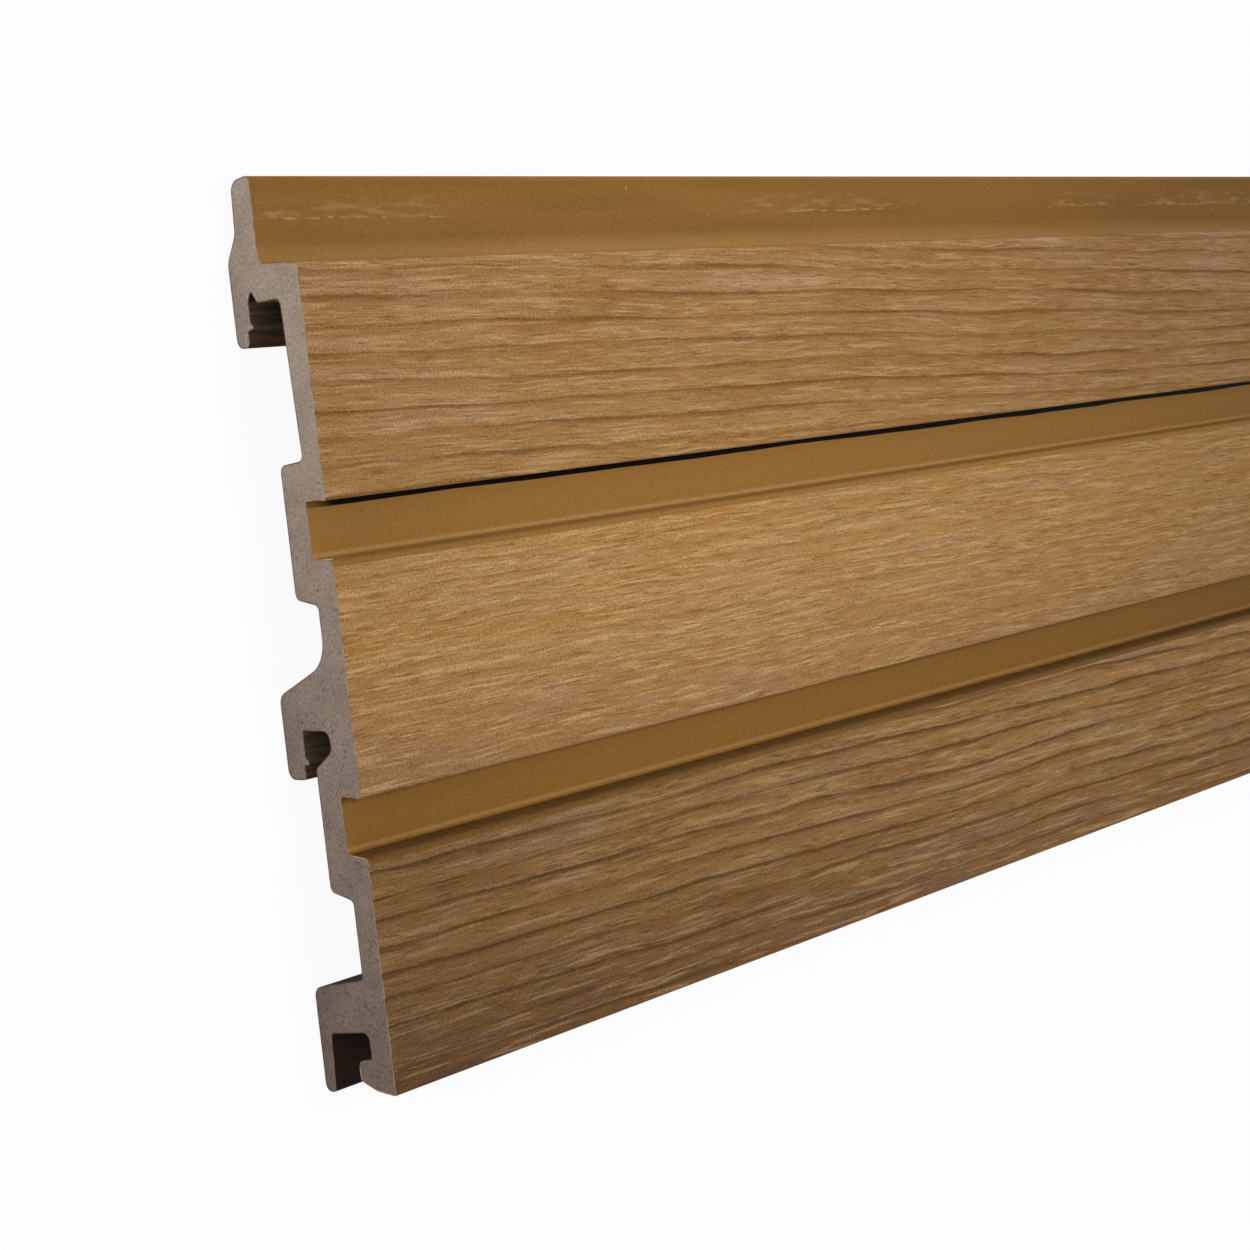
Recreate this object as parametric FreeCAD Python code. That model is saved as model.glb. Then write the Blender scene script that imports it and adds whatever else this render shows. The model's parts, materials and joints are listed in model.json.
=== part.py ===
"""Composite cladding board: one extruded length with three wood-grain faces.

The board lies on its back. X runs along the length and Y across the width, with the
fixing flange at +Y. Z points up, out of the wood-grain faces. The origin is in the
middle of the length and of the width, on the plane that the three legs rest on.

The cross-section is drawn with two sizes: "across" is measured from the upper edge of
the first face towards the bottom edge of the board, and "depth" from the front of the
faces towards the back. All sizes are in millimetres, angles in degrees.
"""
import FreeCAD, Part
import math
import os

length = 2500.0
cover_width = 200.0
face_count = 3
thickness = 26.0

groove_width = 13.4
groove_depth = 7.4
ledge_angle = 5.5
ledge_nose_radius = 1.6
groove_root_radius = 1.0
lip_undercut = 0.3
lip_radius = 0.7

flange_height = 21.8
flange_front = 14.3
flange_tip_back = 21.4
flange_root_back = 22.1
flange_root_radius = 2.2
flange_nose_radius = 1.6
flange_back_radius = 3.0
flange_tip_slope = 0.6
heel_top = 9.0
heel_bottom = 3.2
heel_radius = 5.0

wall = 7.4
first_wall_upper = 8.2
first_wall_lower = 6.7

rib_width = 31.6
rib_back = 15.3
rib_upper_slope = 0.3
rib_lower_slope = 0.8
rib_corner_radius = 1.8
rib_root_radius = 1.5

second_crown = 7.9
second_shoulder_angle = 22.0
second_shoulder_radius = 3.0
second_shoulder_foot_radius = 8.0
third_crown = 10.1
third_shoulder_angle = 10.5
third_shoulder_radius = 2.6
third_shoulder_foot_radius = 1.0

leg_tip_radius = 1.2
leg_heel_radius = 2.4

first_slot_drop = 7.2
first_leg_length = 9.6
first_leg_thickness = 6.1
first_leg_tip_thickness = 4.8
first_slot_corner_radius = 1.8
first_slot_peak_rise = 2.9
first_slot_peak_width = 3.2
first_slot_peak_offset = 1.3
first_slot_peak_length = 2.2

second_slot_drop = 38.2
second_leg_length = 11.4
second_leg_thickness = 7.3
second_leg_tip_thickness = 6.6
second_slot_wall = 9.0
second_slot_round = 4.2
second_slot_height = 4.7
second_slot_mouth_run = 3.9

bead_height = 1.0
bead_length = 2.0
bead_radius = 0.3
first_bead_drop = 4.0
second_bead_drop = 6.2

joint_room = 3.5
joint_gap = 0.25
third_leg_length = 13.8
third_slot_wall = 7.5
third_slot_corner_radius = 2.0
third_slot_ceiling_slope = 1.6
small_radius = 0.6

catch_depth = 12.4
catch_length = 4.4
catch_slope = 1.2
catch_tip_drop = 2.0
bottom_slope = 0.3
bottom_turn_depth = 6.5
bottom_turn_radius = 4.0
catch_radius = 1.6

pitch = cover_width / face_count
bottom_edge = cover_width - groove_width
ledge_rise = math.tan(math.radians(ledge_angle))

flange_tip = -flange_height
third_slot_top = cover_width - flange_height - joint_room
first_slot_top = first_slot_drop
second_slot_top = pitch + second_slot_drop
first_leg_tip = first_slot_top + first_leg_length
second_leg_tip = second_slot_top + second_leg_length
third_leg_tip = third_slot_top + third_leg_length


def flange_back_at(across):
    """Depth of the flange's tapered back at a place above the first face."""
    share = (across - flange_tip) / (flange_height - heel_top)
    return flange_tip_back + share * (flange_root_back - flange_tip_back)


def groove_side(number):
    """Corners of one groove between two faces, from the lip down to the next ledge."""
    lip = number * pitch - groove_width
    ledge = number * pitch
    return [
        (lip, 0.0, lip_radius),
        (lip - lip_undercut, groove_depth, small_radius),
        (ledge - groove_depth * ledge_rise, groove_depth, groove_root_radius),
        (ledge, 0.0, ledge_nose_radius),
    ]


def rib_lower_side(number):
    """Corners of the rib behind a groove at its end nearer the board's bottom edge."""
    centre = number * pitch - groove_width / 2.0
    end = centre + rib_width / 2.0
    return [
        (end + rib_lower_slope, wall, rib_root_radius),
        (end - rib_lower_slope, rib_back, rib_corner_radius),
    ]


def shoulder(top, angle, top_radius, foot_radius):
    """The slanted side above a hook, from its back down to the wall of the board."""
    foot = top - (thickness - wall) * math.tan(math.radians(angle))
    return [
        (top, thickness, top_radius),
        (foot, wall, foot_radius),
    ]


def leg_bead(start, depth_in, depth_out):
    """A small ridge on the inner side of a leg, which grips the part pushed in."""
    crest = depth_in - bead_height
    return [
        (start, depth_in, bead_radius),
        (start + bead_length * 0.4, crest, bead_radius),
        (start + bead_length * 0.8, crest, bead_radius),
        (start + bead_length, depth_out, bead_radius),
    ]


def front_corners():
    corners = [
        (flange_tip, flange_front, flange_nose_radius),
        (-flange_front * ledge_rise, flange_front, flange_root_radius),
        (0.0, 0.0, ledge_nose_radius),
    ]
    for number in range(1, face_count):
        corners += groove_side(number)
    return corners


def bottom_corners():
    """The bottom lip with its catch, and the slot that takes the next board's flange."""
    catch_low = bottom_edge - catch_tip_drop
    catch_high = catch_low - catch_length
    ceiling = third_slot_top - third_slot_ceiling_slope
    shoulder_top = third_slot_top - third_crown
    wall_low = flange_back_at(third_leg_tip - cover_width) + joint_gap
    wall_high = flange_back_at(third_slot_top - cover_width) + joint_gap
    return [
        (bottom_edge, 0.0, lip_radius),
        (bottom_edge - bottom_slope, bottom_turn_depth, bottom_turn_radius),
        (catch_low, catch_depth, catch_radius),
        (catch_high, catch_depth, catch_radius),
        (catch_high - catch_slope, third_slot_wall, small_radius),
        (ceiling, third_slot_wall, third_slot_corner_radius),
        (third_slot_top, wall_high, leg_tip_radius),
        (third_leg_tip, wall_low, leg_tip_radius),
        (third_leg_tip, thickness, leg_heel_radius),
    ] + shoulder(
        shoulder_top, third_shoulder_angle, third_shoulder_radius, third_shoulder_foot_radius
    )


def second_hook_corners():
    inner = thickness - second_leg_thickness
    tip_inner = thickness - second_leg_tip_thickness
    bend = second_slot_top + second_slot_height
    shoulder_top = second_slot_top - second_crown
    corners = [
        (bend + second_slot_mouth_run, rib_back, rib_corner_radius),
        (bend, second_slot_wall, rib_corner_radius),
        (second_slot_top, second_slot_wall, second_slot_round),
        (second_slot_top, inner, small_radius),
    ]
    corners += leg_bead(second_slot_top + second_bead_drop, inner, tip_inner)
    corners += [
        (second_leg_tip, tip_inner, leg_tip_radius),
        (second_leg_tip, thickness, leg_heel_radius),
    ]
    return corners + shoulder(
        shoulder_top, second_shoulder_angle, second_shoulder_radius, second_shoulder_foot_radius
    )


def first_hook_corners():
    inner = thickness - first_leg_thickness
    tip_inner = thickness - first_leg_tip_thickness
    peak = first_slot_top - first_slot_peak_rise
    rib_start = pitch - groove_width / 2.0 - rib_width / 2.0
    corners = [
        (rib_start + rib_upper_slope, rib_back, rib_corner_radius),
        (rib_start - rib_upper_slope, first_wall_lower, rib_root_radius),
        (first_slot_top, first_wall_upper, first_slot_corner_radius),
        (first_slot_top, inner - first_slot_peak_width, small_radius),
        (peak, inner - first_slot_peak_offset, bead_radius),
        (peak + first_slot_peak_length, inner, small_radius),
    ]
    corners += leg_bead(first_slot_top + first_bead_drop, inner, tip_inner)
    corners += [
        (first_leg_tip, tip_inner, leg_tip_radius),
        (first_leg_tip, thickness, leg_heel_radius),
    ]
    return corners


def flange_corners():
    return [
        (-heel_bottom, thickness, heel_radius),
        (-heel_top, flange_root_back, heel_radius),
        (flange_tip + flange_tip_slope, flange_tip_back, flange_back_radius),
    ]


def place(across, depth):
    """A point of the cross-section as it lies: Y across the board, Z upwards."""
    return FreeCAD.Vector(0.0, -across, thickness - depth)


def rounded_outline(corners):
    """A closed wire of straight sides, with an arc of its own radius at each corner."""
    points = [place(across, depth) for across, depth, radius in corners]
    count = len(points)
    starts = []
    ends = []
    arcs = []
    for index in range(count):
        here = points[index]
        before = points[index - 1] - here
        after = points[(index + 1) % count] - here
        opening = before.getAngle(after)
        radius = corners[index][2]
        room = 0.48 * min(before.Length, after.Length)
        setback = min(radius / math.tan(opening / 2.0), room)
        radius = setback * math.tan(opening / 2.0)
        to_before = FreeCAD.Vector(before).normalize()
        to_after = FreeCAD.Vector(after).normalize()
        inward = (to_before + to_after).normalize()
        start = here + to_before * setback
        end = here + to_after * setback
        crest = here + inward * (radius / math.sin(opening / 2.0) - radius)
        starts.append(start)
        ends.append(end)
        arcs.append(Part.Arc(start, crest, end).toShape())
    edges = []
    for index in range(count):
        edges.append(arcs[index])
        following = (index + 1) % count
        edges.append(Part.LineSegment(ends[index], starts[following]).toShape())
    return Part.Wire(edges)


def section_corners():
    corners = front_corners()
    corners += bottom_corners()
    corners += rib_lower_side(face_count - 1)
    corners += second_hook_corners()
    corners += rib_lower_side(1)
    corners += first_hook_corners()
    corners += flange_corners()
    return corners


def cladding_board():
    outline = rounded_outline(section_corners())
    middle = outline.BoundBox.Center.y
    outline.translate(FreeCAD.Vector(-length / 2.0, -middle, 0.0))
    return Part.Face(outline).extrude(FreeCAD.Vector(length, 0.0, 0.0))


os.makedirs("parts", exist_ok=True)
board = cladding_board()
board.exportStep("parts/cladding_board.step")
box = board.BoundBox
print("valid", board.isValid(), "solids", len(board.Solids), "faces", len(board.Faces))
print("length %.2f  width %.2f  thickness %.2f" % (box.XLength, box.YLength, box.ZLength))
print("lowest corner %.2f %.2f %.2f" % (box.XMin, box.YMin, box.ZMin))
print("section %.1f mm2, volume %.0f cm3" % (board.Volume / length, board.Volume / 1000.0))
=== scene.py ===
# %% [markdown]
# # A composite cladding board, dressed
#
# The real object is one length of foamed plastic board for a wall. Three faces embossed like
# wooden boards run along it, with flat grooves between them. At the top is a flange for the
# fixings, and at the back are three hooks. A thin brown skin covers the grey foam, which shows
# only on the two sawn ends.
#
# The construction model gives the shape. This lesson gives the board its grain, its skin, its
# sawn ends and its light. Everything is in metres, in the frame of the construction model.

# %% Tools
import json
import math

import bmesh
import bpy
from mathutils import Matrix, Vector
from mathutils.geometry import delaunay_2d_cdt

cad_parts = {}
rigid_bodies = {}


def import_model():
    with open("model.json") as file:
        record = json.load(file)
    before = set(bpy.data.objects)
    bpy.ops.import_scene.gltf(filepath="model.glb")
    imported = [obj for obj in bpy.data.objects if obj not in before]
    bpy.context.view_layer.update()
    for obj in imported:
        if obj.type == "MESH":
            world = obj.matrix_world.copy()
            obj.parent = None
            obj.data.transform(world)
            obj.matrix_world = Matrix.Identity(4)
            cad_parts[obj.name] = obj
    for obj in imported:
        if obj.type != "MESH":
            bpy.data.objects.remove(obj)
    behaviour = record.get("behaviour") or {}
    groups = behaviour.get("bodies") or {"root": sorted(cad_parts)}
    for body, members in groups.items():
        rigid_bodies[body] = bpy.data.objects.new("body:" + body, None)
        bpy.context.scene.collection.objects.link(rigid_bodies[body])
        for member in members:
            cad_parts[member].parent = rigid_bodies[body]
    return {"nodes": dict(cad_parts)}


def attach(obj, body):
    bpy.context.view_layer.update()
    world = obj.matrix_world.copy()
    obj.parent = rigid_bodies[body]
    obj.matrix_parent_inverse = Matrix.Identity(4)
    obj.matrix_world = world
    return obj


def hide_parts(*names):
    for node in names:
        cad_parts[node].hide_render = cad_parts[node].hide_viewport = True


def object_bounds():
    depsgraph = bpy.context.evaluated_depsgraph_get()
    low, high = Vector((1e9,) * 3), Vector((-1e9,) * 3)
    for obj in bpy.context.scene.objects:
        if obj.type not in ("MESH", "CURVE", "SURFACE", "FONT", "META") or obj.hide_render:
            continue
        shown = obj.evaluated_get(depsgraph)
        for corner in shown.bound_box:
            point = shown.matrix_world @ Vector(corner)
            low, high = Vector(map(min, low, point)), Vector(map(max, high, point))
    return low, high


# %% [markdown]
# ## The frame
#
# A new Blender file holds a cube, a lamp and a camera, which go first. Loading brings in the
# construction model. Its box is kept, because the dressed board has to stay inside it. Lengths
# are easier to read in millimetres, so one value turns them to metres.

# %% Load the frame
MM = 0.001
for default in list(bpy.data.objects):
    bpy.data.objects.remove(default)
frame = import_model()
board_node = frame["nodes"]["cladding_board"]
cad_low, cad_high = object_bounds()
print("board", [round(side / MM, 2) for side in cad_high - cad_low], "mm")

# %% [markdown]
# ## The outline of the section
#
# The board is extruded, so its section is the same all along. The sawn end of the construction
# model already holds that outline with every rounding, so it is read from there. That way the
# dressed board follows the frame when a size changes. The mesh arrives as loose triangles. A
# merged copy of it has edges with one end face beside them, and these make the outline.

# %% Read the outline from the sawn end
MERGE_DISTANCE = 0.001 * MM
SAME_PLACE = 0.01 * MM


def sawn_end_outline(node):
    """The outline of the end at the lowest X, as a closed list of (y, z) in metres.

    It starts at the tip of the flange and goes over the front first.
    """
    shape = bmesh.new()
    shape.from_mesh(node.data)
    bmesh.ops.remove_doubles(shape, verts=shape.verts, dist=MERGE_DISTANCE)
    end = min(vert.co.x for vert in shape.verts)
    on_end = {vert for vert in shape.verts if vert.co.x - end < SAME_PLACE}
    end_faces = {face for face in shape.faces if all(vert in on_end for vert in face.verts)}
    beside = {}
    for edge in shape.edges:
        if sum(face in end_faces for face in edge.link_faces) == 1:
            first, second = edge.verts
            beside.setdefault(first, []).append(second)
            beside.setdefault(second, []).append(first)
    start = max(beside, key=lambda vert: (vert.co.y, vert.co.z))
    walk = [start]
    came_from = start
    here = max(beside[start], key=lambda vert: vert.co.z)
    while here is not start:
        walk.append(here)
        onward = [vert for vert in beside[here] if vert is not came_from]
        came_from = here
        here = onward[0]
    outline = [(vert.co.y, vert.co.z) for vert in walk]
    shape.free()
    return outline


outline = sawn_end_outline(board_node)
print("outline", len(outline), "points")

# %% [markdown]
# ## Points for the grain and for the shading
#
# The three embossed faces are the long straight sides at the full height. They get a point every
# half millimetre or so, because the grain is pressed into them. Each other straight side gets a
# point close to both of its ends, so that the smooth shading turns only there and the flat parts
# look flat.
#
# Every point carries three numbers: whether it is embossed, how deep the grain may go there, and
# whether it is on the front skin. The embossing goes round the lower edge of each face and round
# the upper edge of the first, but its deep lines fade out before them. The front skin goes from
# the tip of the flange over the front and round the bottom lip. It ends where the outline turns
# up again into the slot behind the lip.

# %% Refine the outline
GRAIN_COLUMN = 0.56 * MM
GRAIN_FADE = 1.3 * MM
HOLD = 0.35 * MM
EMBOSSED_FACE_LEAST = 40.0 * MM
EMBOSSED_EDGE_DEPTH = 1.5 * MM
FACE_SLACK = 0.1 * MM
top = cad_high.z


def is_face(here, following):
    """Whether a side of the outline is one of the long embossed faces at the full height."""
    is_long = math.dist(here, following) > EMBOSSED_FACE_LEAST
    return is_long and min(here[1], following[1]) > top - FACE_SLACK


def front_count(outline):
    """How many points of the outline lie on the front skin, from the flange's tip onwards."""
    sides = zip(outline, outline[1:])
    index = max(number for number, side in enumerate(sides) if is_face(*side)) + 1
    while outline[index + 1][1] <= outline[index][1] + MERGE_DISTANCE:
        index += 1
    return index + 1


def refined_outline(outline):
    """Points (y, z, embossed, relief, front), with more of them where grain and flats need it."""
    points = []
    faces = []
    on_front = front_count(outline)
    for index, (y, z) in enumerate(outline):
        next_y, next_z = outline[(index + 1) % len(outline)]
        side = Vector((next_y - y, next_z - z))
        front = float(index < on_front)
        is_upper_edge = next_z > z
        reached = z > top - EMBOSSED_EDGE_DEPTH and not (faces and is_upper_edge)
        points.append((y, z, float(front and reached), 0.0, front))
        if is_face((y, z), (next_y, next_z)):
            faces.append((next_y, y))
            columns = round(side.length / GRAIN_COLUMN)
            for column in range(1, columns):
                share = column / columns
                room = side.length * min(share, 1.0 - share)
                relief = min(1.0, room / GRAIN_FADE)
                points.append((y + side.x * share, z + side.y * share, 1.0, relief, front))
        elif side.length > 4.0 * HOLD:
            for share in (HOLD / side.length, 1.0 - HOLD / side.length):
                points.append((y + side.x * share, z + side.y * share, 0.0, 0.0, front))
    return points, faces


section_points, face_spans = refined_outline(outline)
print("section", len(section_points), "points,", len(face_spans), "embossed faces")
print("faces", [[round(y / MM, 2) for y in span] for span in face_spans], "mm")


# %% Make the section a mesh of edges
def new_object(name, data):
    """An object with this data, in the scene."""
    made = bpy.data.objects.new(name, data)
    bpy.context.scene.collection.objects.link(made)
    return made


def section_object(points):
    """The section as a closed line of edges, which the extrusion uses as its profile.

    On a rail that runs along +X, Curve to Mesh lays the profile's X along -Y and its Y along -Z,
    so both are written with the opposite sign.
    """
    count = len(points)
    edges = [(index, (index + 1) % count) for index in range(count)]
    mesh = bpy.data.meshes.new("section")
    mesh.from_pydata([(-point[0], -point[1], 0.0) for point in points], edges, [])
    for name, column in (("embossed", 2), ("relief", 3), ("front", 4)):
        attribute = mesh.attributes.new(name, "FLOAT", "POINT")
        attribute.data.foreach_set("value", [point[column] for point in points])
    return new_object("section", mesh)


section = section_object(section_points)

# %% [markdown]
# ## Nodes and colours
#
# Two small helpers serve every tree. One adds a node with its settings, values and links. The
# other turns a colour as a paint program writes it into the linear numbers that the shader wants.
# The long names of the most used kinds of node are kept as values. Map Range takes its value at 0,
# the old range at 1 and 2, and the new at 3 and 4, and SMOOTH makes it ease in and out.

# %% Helpers for nodes and colours
MATH = "ShaderNodeMath"
RANGE = "ShaderNodeMapRange"
VECTOR = "ShaderNodeVectorMath"
SPLIT = "ShaderNodeSeparateXYZ"
JOIN = "ShaderNodeCombineXYZ"
NOISE = "ShaderNodeTexNoise"
SMOOTH = {"interpolation_type": "SMOOTHSTEP"}


def add_node(tree, kind, values=None, output=0, **settings):
    """Adds one node and returns one of its outputs, or all of them where output is None.

    Settings are its properties, and values go to its inputs or are linked.
    """
    node = tree.nodes.new(kind)
    for name, setting in settings.items():
        setattr(node, name, setting)
    for key, value in (values or {}).items():
        if isinstance(value, bpy.types.NodeSocket):
            tree.links.new(value, node.inputs[key])
        else:
            node.inputs[key].default_value = value
    if output is None or not node.outputs:
        return node.outputs
    return node.outputs[output]


def srgb(code):
    """A hex colour as linear red, green, blue and alpha."""
    parts = [int(code[index:index + 2], 16) / 255.0 for index in (0, 2, 4)]
    linear = [part / 12.92 if part <= 0.04045 else ((part + 0.055) / 1.055) ** 2.4 for part in parts]
    return (*linear, 1.0)


# %% [markdown]
# ## The wood grain
#
# An embossing roller presses the grain into the warm skin. Seen closely, each dark line of it is
# like the edge of a growth ring: the surface sinks slowly across the board and then steps up
# again. The lines wander a little, are ragged, and fade in and out. Short fibres run beside them,
# and the ground between is sandy.
#
# The pressed shape and the colour have to agree, or the dark lines would miss the valleys. So the
# pattern is built by functions of ordinary math and noise nodes, and both the Geometry Nodes tree
# and the materials call them. Places are in millimetres, X along the board. The trick is to bend
# the place once, so that everything drawn with it wanders together.

# %% Values of the three grains, from the upper face to the lower
GRAINS = [
    dict(spacing=6.4, wander=6.5, slant=0.03, rings=1.0, fibres=0.6, palest=100.0, shift=3.7),
    dict(spacing=4.4, wander=6.0, slant=0.01, rings=0.3, fibres=0.78, palest=110.0, shift=41.3),
    dict(spacing=5.6, wander=9.0, slant=0.02, rings=1.2, fibres=0.5, palest=300.0, shift=90.1),
]


def stretched_noise(tree, place, length, width, shift, detail=1.0):
    """Noise whose blobs are about length by width millimetres, centred on zero."""
    values = {0: place, 1: (1.0 / length, 1.0 / width, 0.0), 2: (shift, shift * 0.7, shift * 1.3)}
    scaled = add_node(tree, VECTOR, values, operation="MULTIPLY_ADD")
    noise = add_node(tree, NOISE, {"Vector": scaled, "Scale": 1.0, "Detail": detail})
    return add_node(tree, MATH, {0: noise, 1: 0.5}, operation="SUBTRACT")


def wandering_place(tree, place, grain):
    """The place, moved across the board so that straight lines drawn with it wander and crowd."""
    shift = grain["shift"]
    along = add_node(tree, SPLIT, {0: place})
    wander = stretched_noise(tree, place, 190.0, 60.0, shift)
    crowd = stretched_noise(tree, place, 150.0, 14.0, shift + 5.0)
    waver = stretched_noise(tree, place, 32.0, 9.0, shift + 11.0)
    move = add_node(tree, MATH, {0: along, 1: grain["slant"]}, operation="MULTIPLY")
    for noise, amount in ((wander, grain["wander"]), (crowd, 4.5), (waver, 2.0)):
        move = add_node(tree, MATH, {0: noise, 1: amount, 2: move}, operation="MULTIPLY_ADD")
    move = add_node(tree, JOIN, {1: move})
    return add_node(tree, VECTOR, {0: place, 1: move}, operation="ADD")


def growth_rings(tree, wandered, grain, rise, fall):
    """Two fields of the growth rings, the dark line and the share of the ring above it.

    Going down the board, the line sets in within rise millimetres and fades within fall. The
    share grows from 0 below one line to 1 above the next.
    """
    shift = grain["shift"]
    spacing = grain["spacing"]
    across = add_node(tree, SPLIT, {0: wandered}, output=1)
    ragged = stretched_noise(tree, wandered, 1.6, 0.6, shift + 17.0)
    across = add_node(tree, MATH, {0: ragged, 1: 0.5, 2: across}, operation="MULTIPLY_ADD")
    turns = add_node(tree, MATH, {0: across, 1: -1.0 / spacing}, operation="MULTIPLY")
    share = add_node(tree, MATH, {0: turns}, operation="FRACT")
    setting_in = add_node(tree, RANGE, {0: share, 1: 1.0 - rise / spacing, 2: 1.0}, **SMOOTH)
    values = {0: share, 1: 0.0, 2: fall / spacing, 3: 1.0, 4: 0.0}
    fading_out = add_node(tree, RANGE, values, **SMOOTH)
    line = add_node(tree, MATH, {0: setting_in, 1: fading_out}, operation="MAXIMUM")
    coming = stretched_noise(tree, wandered, 80.0, 4.5, shift + 23.0, 3.0)
    presence = add_node(tree, RANGE, {0: coming, 1: -0.13, 2: 0.1, 3: 0.12, 4: 1.0}, **SMOOTH)
    line = add_node(tree, MATH, {0: line, 1: presence}, operation="MULTIPLY")
    return line, share


# %% [markdown]
# ## The extruded board
#
# The tree does what the extruder and the embossing roller do. The section runs along a straight
# line as long as the board and is closed at both ends. Then the embossed points sink by the depth
# of the grain, so that nothing stands above the faces of the construction model. At the end the
# tree gives each zone its material.
#
# Rows of points about 8 mm apart are close enough, because the lines change slowly along the
# board. Half of the depth is the narrow line, and the other half is the slope of the whole ring.

# %% Sizes of the relief
RELIEF_DEPTH = 0.34 * MM
ROW_SPACING = 8.4 * MM
PRESSED_LINE = (0.9, 1.6)
ENDWISE_LEAST = 0.9


# %% Build the tree
def swept_section(tree, given):
    """The section swept along a straight rail, with a row of points at each step."""
    profile = add_node(tree, "GeometryNodeMeshToCurve", {"Mesh": given["Geometry"]})
    start, end = [add_node(tree, JOIN, {0: given[name]}) for name in ("Start", "End")]
    line = add_node(tree, "GeometryNodeCurvePrimitiveLine", {"Start": start, "End": end})
    values = {"Curve": line, "Length": given["Row spacing"]}
    rail = add_node(tree, "GeometryNodeResampleCurve", values, mode="LENGTH")
    values = {"Curve": rail, "Profile Curve": profile, "Fill Caps": True}
    return add_node(tree, "GeometryNodeCurveToMesh", values)


def grain_depth(tree, position, below):
    """How deep the grain goes at a place, from 0 to 1. Each face has its own grain."""
    place = add_node(tree, VECTOR, {0: position, "Scale": 1.0 / MM}, operation="SCALE")
    depths = []
    for grain in GRAINS:
        wandered = wandering_place(tree, place, grain)
        line, share = growth_rings(tree, wandered, grain, *PRESSED_LINE)
        slope = add_node(tree, MATH, {0: 1.0, 1: share}, operation="SUBTRACT")
        both = add_node(tree, MATH, {0: slope, 1: line}, operation="ADD")
        half = 0.5 * min(1.0, grain["rings"])
        depths.append(add_node(tree, MATH, {0: both, 1: half}, operation="MULTIPLY"))
    depth = depths[0]
    for switch, following in zip(below, depths[1:]):
        depth = add_node(tree, "ShaderNodeMix", {0: switch, 2: depth, 3: following}, data_type="FLOAT")
    return depth


def extrusion_tree(materials, groove_middles):
    """A Geometry Nodes tree that sweeps the section and presses the grain into the faces."""
    tree = bpy.data.node_groups.new("embossed extrusion", "GeometryNodeTree")
    tree.interface.new_socket("Geometry", in_out="INPUT", socket_type="NodeSocketGeometry")
    for name in ("Start", "End", "Row spacing", "Relief depth"):
        tree.interface.new_socket(name, in_out="INPUT", socket_type="NodeSocketFloat")
    tree.interface.new_socket("Geometry", in_out="OUTPUT", socket_type="NodeSocketGeometry")
    given = add_node(tree, "NodeGroupInput", output=None)
    swept = swept_section(tree, given)

    relief, embossed, front = [
        add_node(tree, "GeometryNodeInputNamedAttribute", {"Name": name}, data_type="FLOAT")
        for name in ("relief", "embossed", "front")
    ]
    position = add_node(tree, "GeometryNodeInputPosition")
    y = add_node(tree, SPLIT, {0: position}, output=1)
    below = [add_node(tree, MATH, {0: y, 1: middle}, operation="LESS_THAN") for middle in groove_middles]
    sunk = grain_depth(tree, position, below)
    for factor in (relief, given["Relief depth"], -1.0):
        sunk = add_node(tree, MATH, {0: sunk, 1: factor}, operation="MULTIPLY")
    offset = add_node(tree, JOIN, {2: sunk})
    pressed = add_node(tree, "GeometryNodeSetPosition", {"Geometry": swept, "Offset": offset})

    normal = add_node(tree, "GeometryNodeInputNormal")
    along = add_node(tree, SPLIT, {0: normal})
    endwise = add_node(tree, MATH, {0: along}, operation="ABSOLUTE")
    is_end, is_embossed, is_front = [
        add_node(
            tree, "FunctionNodeCompare", {0: value, 1: least}, data_type="FLOAT", operation="GREATER_THAN"
        )
        for value, least in ((endwise, ENDWISE_LEAST), (embossed, 0.75), (front, 0.25))
    ]
    is_side = add_node(tree, "FunctionNodeBooleanMath", {0: is_end}, operation="NOT")
    shaded = add_node(tree, "GeometryNodeSetShadeSmooth", {"Geometry": pressed, "Shade Smooth": is_side})

    zones = [
        (is_side, materials["back"]),
        (is_front, materials["smooth"]),
        (is_end, materials["foam"]),
        (is_embossed, materials["grain"][0]),
    ]
    for switch, material in zip(below, materials["grain"][1:]):
        is_below = add_node(tree, "FunctionNodeBooleanMath", {0: is_embossed, 1: switch}, operation="AND")
        zones.append((is_below, material))
    shown = add_node(tree, "GeometryNodeRealizeInstances", {"Geometry": shaded})
    for selection, material in zones:
        values = {"Geometry": shown, "Selection": selection, "Material": material}
        shown = add_node(tree, "GeometryNodeSetMaterial", values)
    add_node(tree, "NodeGroupOutput", {"Geometry": shown})
    return tree


# %% [markdown]
# ## The embossed skin
#
# The skin is a weatherproof acrylic plastic (ASA), coextruded over the foam and embossed. It is
# matt. The eye sees a warm tan. A crisp dark line about a millimetre wide ends each growth ring:
# right above it the wood is pale and pinkish, right below it brown. Between the lines lie fine
# light and dark fibres in some places, and sandy ground in others.
#
# A fibre is about 0.4 mm wide and 7 mm long on the real board, a broader streak 1.1 mm by 25 mm,
# and the sand is half a millimetre. Along the board each face is painted slowly paler and darker
# again, a painted pool of light that repeats every 800 mm, and close to the sawn end it is painted
# a little darker, as painted shade. Each face is also painted darker towards its lower edge.
# The pattern reads Object coordinates, so it stays on the board from every side. The finest
# relief is a bump of a few hundredths of a millimetre.

# %% Colours of the three faces, in the order of their grains
PRINTED_LINE = (0.35, 1.5)
FACE_NAMES = ["upper", "middle", "lower"]
# The low tone of each face is painted shade towards its lower edge.
FACE_COLOURS = [
    dict(base="A07848", light="C29C72", dark="6C4B20", gold="936536", pink="AA825F", low="9F7846"),
    dict(base="AA814D", light="CAA472", dark="77501F", gold="A6763D", pink="AB805B", low="8F6C4A"),
    dict(base="946F42", light="B59268", dark="4F3618", gold="7F5830", pink="8C6D50", low="5A402D"),
]


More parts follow.
